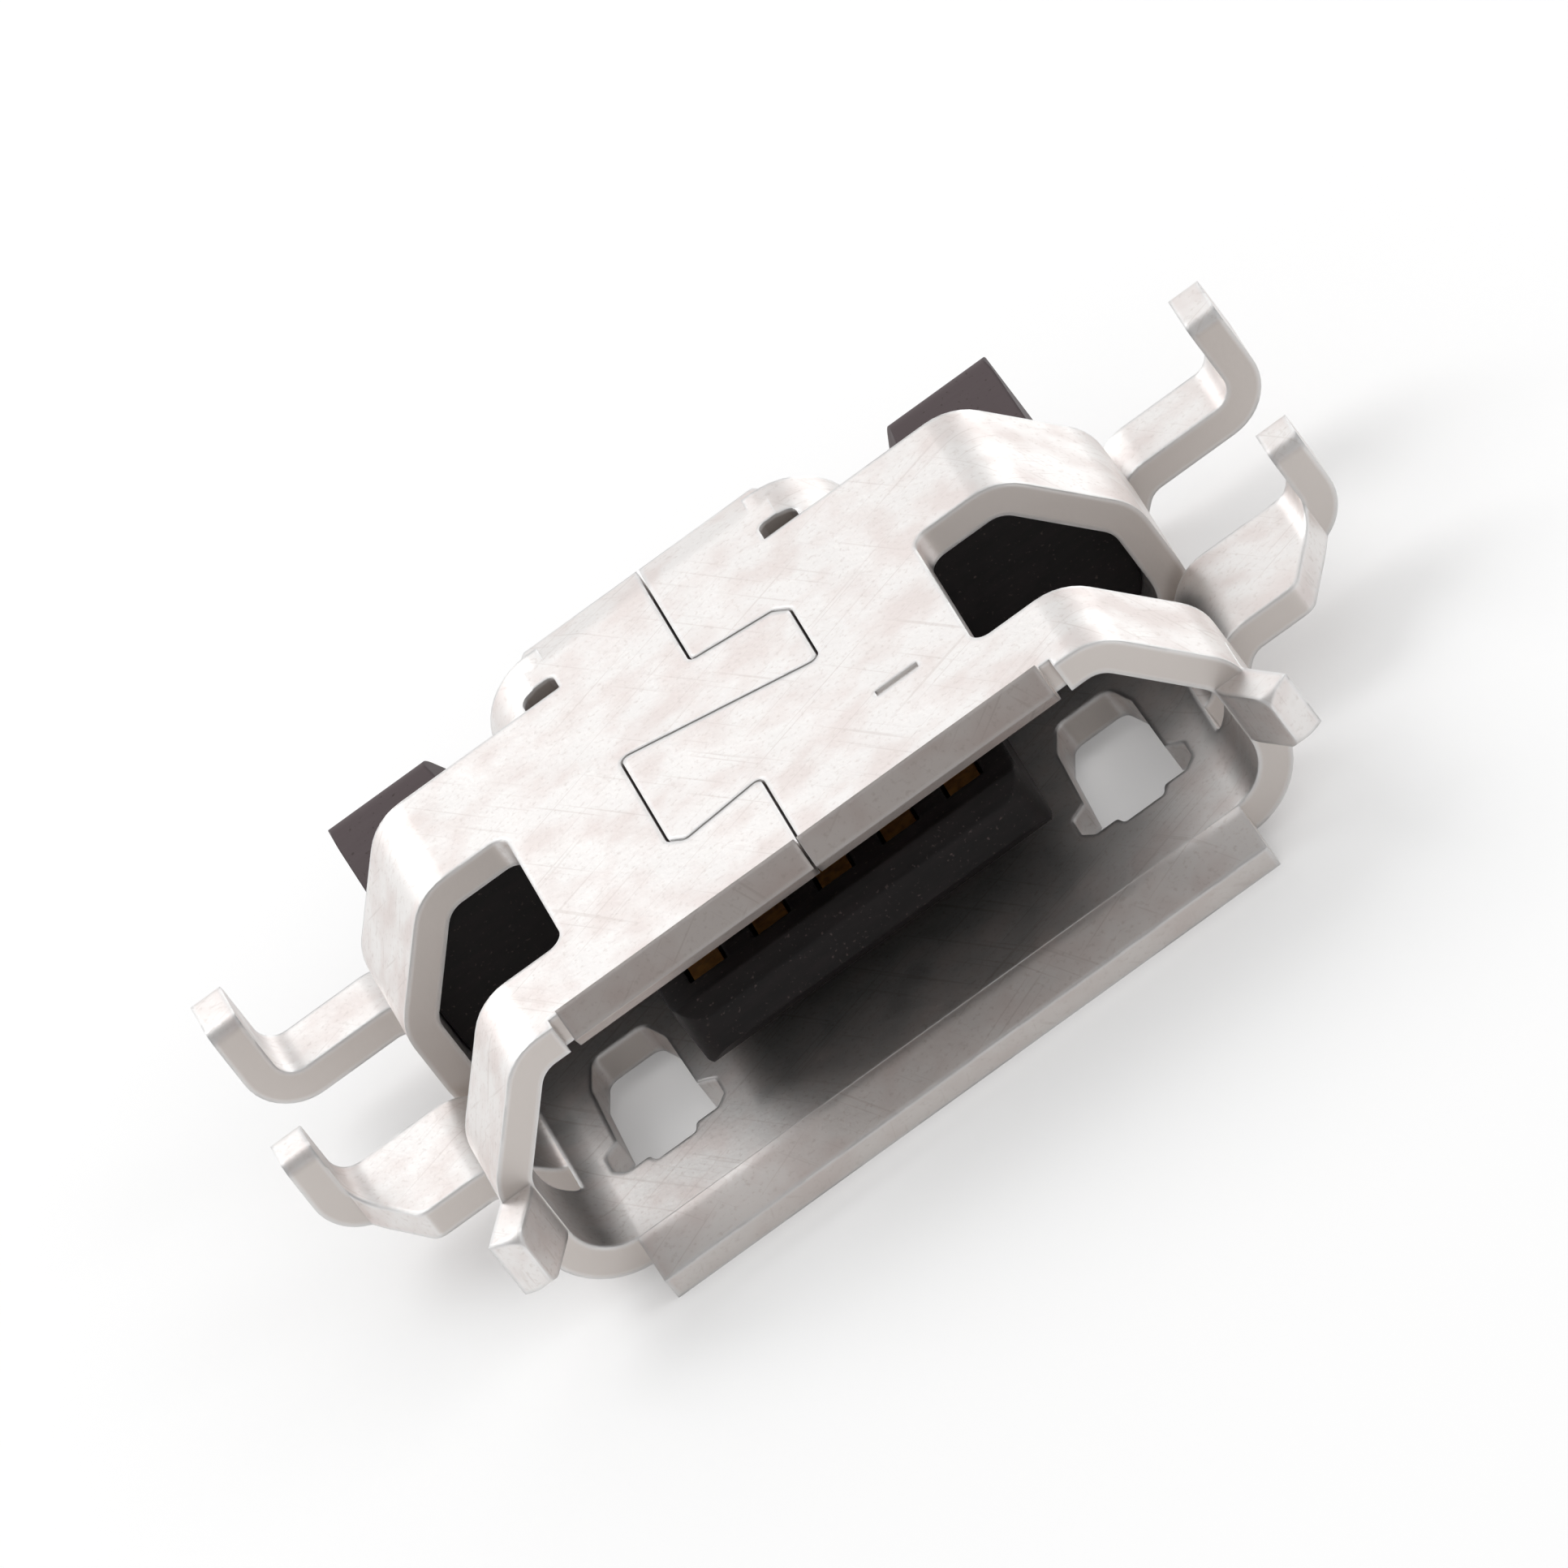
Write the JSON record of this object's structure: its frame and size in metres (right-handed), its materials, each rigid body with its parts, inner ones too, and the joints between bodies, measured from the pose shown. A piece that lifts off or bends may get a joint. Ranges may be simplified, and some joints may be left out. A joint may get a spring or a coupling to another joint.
{
  "type": "micro usb socket",
  "caption": "Mid-mount micro USB type B socket: folded metal shell with flared mouth and side legs, black insulator with tongue, spring contacts with solder tails.",
  "frame": {"origin": "centre of the bounding box in X and Y, at the lowest edge of the lower mouth lip in Z", "axes": "+X along the width, -Y out of the mouth, +Z from the wide plate to the seamed narrow face"},
  "size_m": [0.0104, 0.0074, 0.0028],
  "materials": {
    "shell_sheet": "bright tin over folded stainless sheet, faintly mottled",
    "insulator": "black moulded liquid crystal polymer, low sheen",
    "contact_plating": "gold over nickel on copper alloy"
  },
  "bodies": {
    "root": {"shell": "shell_sheet", "housing": "insulator", "contact_1": "contact_plating", "contact_2": "contact_plating", "contact_3": "contact_plating", "contact_4": "contact_plating", "contact_5": "contact_plating"}
  },
  "joints": []
}
